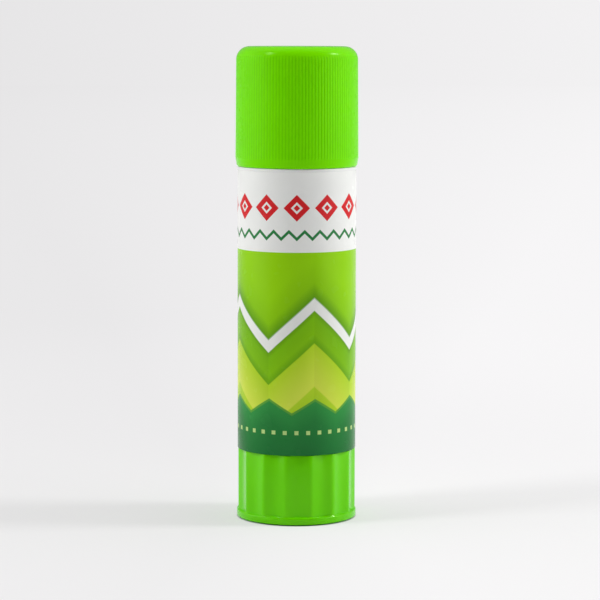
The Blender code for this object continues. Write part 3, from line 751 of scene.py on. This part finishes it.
def make_knob(material, grooves, bars_joined):
    """Fluted knob on a plain rim, with its snap groove, boss, webs and six-sided socket."""
    foot = RIM_RADIUS - 4 * FOOT_STEP
    rim_bottom = KNOB_BOTTOM + FOOT_STEP
    flute_start = (2 * RIM_EDGE + LEDGE) / 3
    corners = [(0.0, FOOT_RECESS, 0), (foot - FOOT_WIDTH - FOOT_RECESS / 2, FOOT_RECESS, EASED),
               (foot - FOOT_WIDTH, KNOB_BOTTOM, CRISP), (foot, KNOB_BOTTOM, 0),
               (foot, rim_bottom, 0), (RIM_RADIUS, rim_bottom, RIM_CORNER),
               (RIM_RADIUS, RIM_EDGE, RIM_FILLET), (KNOB_RADIUS, LEDGE, CRISP),
               (KNOB_RADIUS, KNOB_TOP, EASED), (KNOB_BORE, KNOB_TOP, EASED)]
    corners += bead(KNOB_BORE, SPIGOT_BEAD, SPIGOT_BEAD_HEIGHT, up=False)
    corners += [(KNOB_BORE, CAVITY_LEVEL, FILLET), (BOSS_RADIUS, CAVITY_LEVEL, FILLET),
                (BOSS_RADIUS, KNOB_TOP, EASED), (SOCKET_FLATS / 2, KNOB_TOP, 0),
                (SOCKET_FLATS / 2, CAVITY_LEVEL, 0), (0.0, CAVITY_LEVEL, 0)]
    knob = swept("fluted_knob", softened(corners), FLUTE_COUNT * FLUTE_COLUMNS,
                 radius_at=six_sided(SOCKET_FLATS, (SOCKET_FLATS / 2 + BOSS_RADIUS) / 2),
                 start=FLUTE_PHASE)
    shaped(knob, grooves, {
        "Count": FLUTE_COUNT * 1.0, "Turns Per Metre": 0.0, "Phase": FLUTE_PHASE,
        "Depth": FLUTE_DEPTH, "Setback": 0.0, "Edge": FLUTE_EDGE, "Crest Share": 0.0,
        "Floor Share": math.hypot(0.5, FLUTE_EDGE) - FLUTE_EDGE,
        "Roundness": 0.0, "Power": 2.0, "Bottom": flute_start, "Top": KNOB_TOP + OVERRUN,
        "End Length": LEDGE - flute_start, "Least Radius": (KNOB_BORE + KNOB_RADIUS) / 2,
        "Most Radius": RIM_RADIUS + GAP, "Material": material})
    shaped(knob, bars_joined, {
        "Count": WEB_COUNT, "Phase": 0.0, "Inner Radius": BOSS_RADIUS - WEB_ROOT,
        "Outer Radius": SPIGOT_BORE - GAP, "Width": WEB_THICKNESS, "Bottom": CAVITY_LEVEL / 2 + GAP,
        "Top": CAVITY_LEVEL + WEB_HEIGHT, "Material": material})
    return finished(knob, material, "knob", "knob", sharp=24)


def make_barrel(material, bars_joined):
    """White tube with its spigot, film recess, lip, neck, snap beads and guide ribs."""
    corners = [(SPIGOT_BORE, SPIGOT_BOTTOM, CRISP), (SPIGOT_RADIUS, SPIGOT_BOTTOM, FILLET)]
    corners += bead(SPIGOT_RADIUS, SPIGOT_BEAD, SPIGOT_BEAD_HEIGHT)
    corners += [(SPIGOT_RADIUS, KNOB_TOP + SEAM, EASED), (RECESS_RADIUS, KNOB_TOP + SEAM, CRISP),
                (RECESS_RADIUS, LIP_BOTTOM, CRISP), (BARREL_RADIUS, LIP_BOTTOM, LIP_EDGE),
                (BARREL_RADIUS, SHOULDER, EASED), (NECK_RADIUS, SHOULDER, FILLET)]
    corners += bead(NECK_RADIUS, NECK_BEAD, NECK_BEAD_HEIGHT)
    corners += [(NECK_RADIUS, MOUTH, FILLET), (BORE_RADIUS, MOUTH, FILLET),
                (BORE_RADIUS, FLOOR_TOP, FILLET), (JOURNAL_HOLE, FLOOR_TOP, EASED),
                (JOURNAL_HOLE, FILM_BOTTOM, EASED), (SPIGOT_BORE, FILM_BOTTOM, FILLET)]
    barrel = swept("barrel_tube", softened(corners), BARREL_COLUMNS)
    shaped(barrel, bars_joined, {
        "Count": GUIDE_COUNT, "Phase": GUIDE_PHASE, "Inner Radius": GUIDE_RADIUS,
        "Outer Radius": (BORE_RADIUS + NECK_RADIUS) / 2, "Width": GUIDE_WIDTH,
        "Bottom": (FLOOR_TOP + FILM_BOTTOM) / 2, "Top": MOUTH - GUIDE_DROP, "Material": material})
    return finished(barrel, material, "barrel", "barrel", sharp=35)


def make_film(material):
    """Film wrapped once round the barrel, whose outer end laps over its inner end at the back."""
    lap = FILM_LAP / FILM_RADIUS
    ramp = FILM_RAMP / FILM_RADIUS
    inner = FILM_RADIUS - FILM_THICKNESS

    def radius_at(radius, height, angle):
        share = min(max((angle - SEAM_ANGLE - lap) / ramp, 0.0), 1.0)
        return radius - FILM_DIP * (1 - share * share * (3 - 2 * share))

    bottom = KNOB_TOP + SEAM
    top = LIP_BOTTOM - SEAM / 4
    corners = [(inner, bottom, FILM_EDGE), (FILM_RADIUS, bottom, FILM_EDGE)]
    corners += straight((FILM_RADIUS, bottom), (FILM_RADIUS, top), FILM_ROWS)
    corners += [(FILM_RADIUS, top, FILM_EDGE), (inner, top, FILM_EDGE)]
    corners += straight((inner, top), (inner, bottom), FILM_ROWS)
    outline = softened(corners, steps=2)
    film = swept("label_film", outline, FILM_COLUMNS, radius_at=radius_at, start=SEAM_ANGLE,
                 span=TURN + lap)
    wrap = film.data.uv_layers.new(name="wrap")
    for loop in film.data.loops:
        point = film.data.vertices[loop.vertex_index].co
        column = loop.vertex_index // len(outline)
        wrap.data[loop.index].uv = (column * (TURN + lap) / TURN / FILM_COLUMNS,
                                    (point.z - FILM_BOTTOM) / (FILM_TOP - FILM_BOTTOM))
    return finished(film, material, "barrel", "label")


def slot_values(material, bottom, top):
    """Values for the slots that let a piece slide on the barrel's guide ribs."""
    return {"Count": GUIDE_COUNT, "Phase": GUIDE_PHASE, "Inner Radius": GUIDE_RADIUS - GAP,
            "Outer Radius": BORE_RADIUS + OVERRUN, "Width": GUIDE_WIDTH + 2 * GAP,
            "Bottom": bottom - OVERRUN, "Top": top + OVERRUN, "Material": material}


def make_glue(material, bars_cut):
    """Column of glue cast into the carrier's cup, with a hole for the screw and slots for the ribs."""
    hole = CREST_RADIUS + GAP
    over_cup = CARRIER_TOP + GAP
    cup = CUP_BORE - GAP
    barb = cup - BARB_HEIGHT
    dome = [(radius, GLUE_TOP - GLUE_DOME * (radius / GLUE_RADIUS) ** 2, 0)
            for radius in (GLUE_RADIUS * i / DOME_STEPS for i in range(DOME_STEPS - 1))]
    corners = [(hole, over_cup, 0), (hole, SPINDLE_TOP + GAP, EASED), (0.0, SPINDLE_TOP + GAP, 0)]
    corners += dome
    corners += [(GLUE_RADIUS, GLUE_TOP - GLUE_DOME, GLUE_CORNER), (GLUE_RADIUS, over_cup, CRISP),
                (barb, over_cup, CRISP),
                (barb, CARRIER_TOP - BARB_LENGTH, CRISP),
                (cup, CARRIER_TOP - BARB_LENGTH - BARB_HEIGHT, CRISP),
                (cup, GLUE_BOTTOM, FILLET), (NUT_RADIUS + GAP, GLUE_BOTTOM, FILLET),
                (NUT_RADIUS + GAP, over_cup, CRISP)]
    glue = swept("glue_column", softened(corners), GLUE_COLUMNS)
    shaped(glue, bars_cut, slot_values(material, over_cup, GLUE_TOP))
    return finished(glue, material, "carrier", "glue", sharp=35)


def make_carrier(material, grooves, bars_cut):
    """Plunger cup with its nut, which slides on the barrel's guide ribs."""
    bore = CREST_RADIUS + THREAD_GAP
    barb = CUP_BORE - BARB_HEIGHT
    corners = [(bore, CARRIER_BOTTOM, 0), (SLIDING_RADIUS, CARRIER_BOTTOM, FILLET),
               (SLIDING_RADIUS, CARRIER_TOP, EASED), (barb, CARRIER_TOP, CRISP),
               (barb, CARRIER_TOP - BARB_LENGTH, CRISP),
               (CUP_BORE, CARRIER_TOP - BARB_LENGTH - BARB_HEIGHT, CRISP),
               (CUP_BORE, PLATE_TOP, FILLET), (NUT_RADIUS, PLATE_TOP, FILLET),
               (NUT_RADIUS, CARRIER_TOP, EASED), (bore, CARRIER_TOP, 0)]
    corners += straight((bore, CARRIER_TOP), (bore, CARRIER_BOTTOM),
                        round((CARRIER_TOP - CARRIER_BOTTOM) / THREAD_ROW))
    carrier = swept("carrier_cup", softened(corners), CARRIER_COLUMNS)
    shaped(carrier, grooves, thread_values(material, bore, CARRIER_BOTTOM - 2 * OVERRUN,
                                           CARRIER_TOP + 2 * OVERRUN))
    shaped(carrier, bars_cut, slot_values(material, CARRIER_BOTTOM, CARRIER_TOP))
    return finished(carrier, material, "carrier", "carrier", sharp=35)


def thread_values(material, radius, bottom, top):
    """Values for the left-hand trapezoid thread on a wall of a radius."""
    return {"Count": 1.0, "Turns Per Metre": 1 / LEAD, "Phase": THREAD_START,
            "Depth": THREAD_DEPTH, "Setback": 0.0, "Edge": 0.0, "Crest Share": THREAD_CREST,
            "Floor Share": THREAD_FLOOR, "Roundness": 0.5, "Power": 1.0, "Bottom": bottom, "Top": top,
            "End Length": THREAD_RUNOUT, "Least Radius": radius - SEAM, "Most Radius": radius + SEAM,
            "Material": material}


def make_spindle(material, grooves):
    """Left-hand screw on a collar and journal, with a six-sided drive below."""
    tip = CREST_RADIUS - THREAD_DEPTH - TIP_STEP
    thread_top = SPINDLE_TOP - (CREST_RADIUS - tip)
    corners = [(0.0, DRIVE_BOTTOM, 0), (DRIVE_FLATS / 2, DRIVE_BOTTOM, 0),
               (DRIVE_FLATS / 2, FILM_BOTTOM, 0), (JOURNAL_RADIUS, FILM_BOTTOM, CRISP),
               (JOURNAL_RADIUS, COLLAR_BOTTOM, CRISP), (COLLAR_RADIUS, COLLAR_BOTTOM, EASED),
               (COLLAR_RADIUS, COLLAR_TOP, EASED), (CREST_RADIUS, COLLAR_TOP, CRISP)]
    corners += straight((CREST_RADIUS, COLLAR_TOP), (CREST_RADIUS, thread_top),
                        round((thread_top - COLLAR_TOP) / THREAD_ROW))
    corners += [(CREST_RADIUS, thread_top, 0), (tip, SPINDLE_TOP, CRISP), (0.0, SPINDLE_TOP, 0)]
    spindle = swept("lead_screw", softened(corners), SPINDLE_COLUMNS,
                    radius_at=six_sided(DRIVE_FLATS, (DRIVE_FLATS / 2 + JOURNAL_RADIUS) / 2))
    shaped(spindle, grooves, thread_values(material, CREST_RADIUS, COLLAR_TOP, thread_top))
    return finished(spindle, material, "knob", "spindle", sharp=35)


def backdrop_colour(tree, across):
    """The pale backdrop's colour, a little darker on the left and lighter on the right: painted light,
    for the stronger light on its right side.
    """
    share = add(tree, "ShaderNodeMapRange", [across, -BACKDROP_REACH, BACKDROP_REACH, 0.0, 1.0])
    return add(tree, "ShaderNodeMix", [share, linear(BACKDROP_LEFT), linear(BACKDROP_RIGHT)],
               data_type="RGBA")


def make_floor():
    """Pale matt sweep, which fades into the backdrop's colour away from the stick."""
    shape = bmesh.new()
    bmesh.ops.create_circle(shape, cap_ends=True, radius=FLOOR_RADIUS, segments=FLOOR_SIDES)
    mesh = bpy.data.meshes.new("studio_floor")
    shape.to_mesh(mesh)
    shape.free()
    floor = bpy.data.objects.new("studio_floor", mesh)
    bpy.context.scene.collection.objects.link(floor)
    material, tree = new_material("matt_paper_sweep")
    place = add(tree, "ShaderNodeTexCoord").outputs["Object"]
    distance = add(tree, "ShaderNodeVectorMath", [place], operation="LENGTH").outputs["Value"]
    reach = add(tree, "ShaderNodeMath", [distance, FLOOR_NEAR], operation="ADD")
    across = add(tree, "ShaderNodeMath", [add(tree, "ShaderNodeSeparateXYZ", [place]), reach],
                 operation="DIVIDE")
    lift = add(tree, "ShaderNodeMapRange", [distance, FLOOR_FADE_START, FLOOR_FADE_END,
                                            FLOOR_LIFT, 1.0], interpolation_type="SMOOTHSTEP")
    fade = add(tree, "ShaderNodeMapRange", [distance, FLOOR_FADE_END, FLOOR_RADIUS, 1.0, BACKDROP_FADE])
    strength = add(tree, "ShaderNodeMath", [lift, fade], operation="MULTIPLY")
    far = add(tree, "ShaderNodeMapRange", [distance, FLOOR_FADE_START, FLOOR_FADE_END,
                                           FLOOR_GLOW, 1.0], interpolation_type="SMOOTHSTEP")
    open_floor = add(tree, "ShaderNodeMath", [distance, RIM_RADIUS], operation="GREATER_THAN")
    seen = add(tree, "ShaderNodeMath", [far, seen_directly(tree)], operation="MULTIPLY")
    seen = add(tree, "ShaderNodeMath", [seen, open_floor], operation="MULTIPLY")
    paper = add(tree, "ShaderNodeBsdfDiffuse", {"Color": linear(FLOOR_COLOUR)})
    glow = add(tree, "ShaderNodeEmission", {"Color": backdrop_colour(tree, across),
                                            "Strength": strength})
    shader = add(tree, "ShaderNodeMixShader", [seen, paper, glow])
    add(tree, "ShaderNodeOutputMaterial", [shader])
    mesh.materials.append(material)


def seen_directly(tree):
    """1 for camera, glossy and transmission rays, which show the pale backdrop."""
    path = add(tree, "ShaderNodeLightPath").outputs
    total = add(tree, "ShaderNodeMath", [path["Is Camera Ray"], path["Is Glossy Ray"]],
                operation="MAXIMUM")
    return add(tree, "ShaderNodeMath", [total, path["Is Transmission Ray"]], operation="MAXIMUM")


def make_world():
    """Even studio air, as in a light tent that is open to the front, and the backdrop's colour.

    The tent's open side, towards -Y, sheds almost no light and leaves the gloss in the middle of the
    stick dark. Its back is dimmer than its sides. Where the world is seen directly it is the plain
    backdrop.
    """
    world = bpy.data.worlds.new("studio_air")
    world.use_nodes = True
    tree = world.node_tree
    tree.nodes.clear()
    axes = add(tree, "ShaderNodeSeparateXYZ",
               [add(tree, "ShaderNodeTexCoord").outputs["Generated"]]).outputs
    opening = add(tree, "ShaderNodeMapRange", [axes["Y"], *FRONT_FADE, 1.0, FRONT_LEVEL],
                  interpolation_type="SMOOTHSTEP")
    back = add(tree, "ShaderNodeMapRange", [axes["Y"], *BACK_FADE, 1.0, BACK_LEVEL],
               interpolation_type="SMOOTHSTEP")
    tent = add(tree, "ShaderNodeMath", [opening, back], operation="MULTIPLY")
    camera = add(tree, "ShaderNodeLightPath").outputs["Is Camera Ray"]
    strength = add(tree, "ShaderNodeMix", [camera, tent, BACKDROP_FADE])
    level = add(tree, "ShaderNodeMix", [seen_directly(tree), linear(AIR_COLOUR),
                                        backdrop_colour(tree, axes["X"])], data_type="RGBA")
    air = add(tree, "ShaderNodeBackground", {"Color": level, "Strength": strength})
    add(tree, "ShaderNodeOutputWorld", [air])
    bpy.context.scene.world = world


def make_lamp(name, place, size, power):
    """Square lamp that faces the middle of the stick."""
    lamp = bpy.data.lights.new(name, "AREA")
    lamp.shape = "SQUARE"
    lamp.size = size
    lamp.energy = power
    item = bpy.data.objects.new(name, lamp)
    item.location = place
    aim = Vector((0.0, 0.0, CAP_TOP / 2)) - item.location
    item.rotation_euler = aim.to_track_quat("-Z", "Y").to_euler()
    bpy.context.scene.collection.objects.link(item)


def make_camera():
    """Camera fitted to the photograph's edges: a long lens, a little above the stick's top."""
    camera = bpy.data.cameras.new("photo_camera")
    camera.sensor_width = 36.0
    camera.lens = CAMERA_LENS
    item = bpy.data.objects.new("photo_camera", camera)
    item.location = CAMERA_PLACE
    turn = (Matrix.Rotation(CAMERA_PAN, 3, "Z") @ Matrix.Rotation(math.pi / 2 - CAMERA_PITCH, 3, "X")
            @ Matrix.Rotation(CAMERA_ROLL, 3, "Z"))
    item.rotation_euler = turn.to_euler()
    bpy.context.scene.collection.objects.link(item)
    bpy.context.scene.camera = item


make_camera()
make_world()
make_floor()
for name, place, size, power in LAMPS:
    make_lamp(name, place, size, power)

# the groove tints are painted shade in the grooves of the ribs and flutes; a white one leaves the colour
# as it is
cap_green = polypropylene(
    "green_polypropylene_satin", colour="#80F000", shade="#7AE800", groove="#D8EDED",
    roughness=0.28, polish=0.16, grain=(0.25 * MM, 0.002 * MM), glow=0.1, specular=0.1,
    gleam="#DCFF9A")
knob_green = polypropylene(
    "green_polypropylene_gloss", colour="#70E002", shade="#69D800", groove="#FAFDFD",
    roughness=0.18, polish=0.14, grain=(0.3 * MM, 0.001 * MM), glow=0.1, specular=0.27,
    gleam="#E6FFB8")
white = polypropylene(
    "white_polypropylene", colour="#F4F5F2", shade="#F0F1EE", groove="#FFFFFF",
    roughness=0.35, polish=0.35, grain=(0.25 * MM, 0.004 * MM), glow=0.1, specular=0.3,
    gleam="#FFFFFF")
natural = polypropylene(
    "natural_polypropylene", colour="#E8EAE6", shade="#DFE2DE", groove="#FFFFFF",
    roughness=0.42, polish=0.42, grain=(0.3 * MM, 0.004 * MM), glow=0.4, specular=0.5,
    gleam="#FFFFFF")
film_ink = printed_film()
gel = glue_gel()

grooves = groove_tree()
bars_joined = bars_tree("joined_bars", "UNION")
bars_cut = bars_tree("cut_bars", "DIFFERENCE")

make_barrel(white, bars_joined)
make_film(film_ink)
make_knob(knob_green, grooves, bars_joined)
make_cap(cap_green, grooves)
make_glue(gel, bars_cut)
make_carrier(natural, grooves, bars_cut)
make_spindle(natural, grooves)

bpy.context.scene.view_settings.view_transform = "Standard"
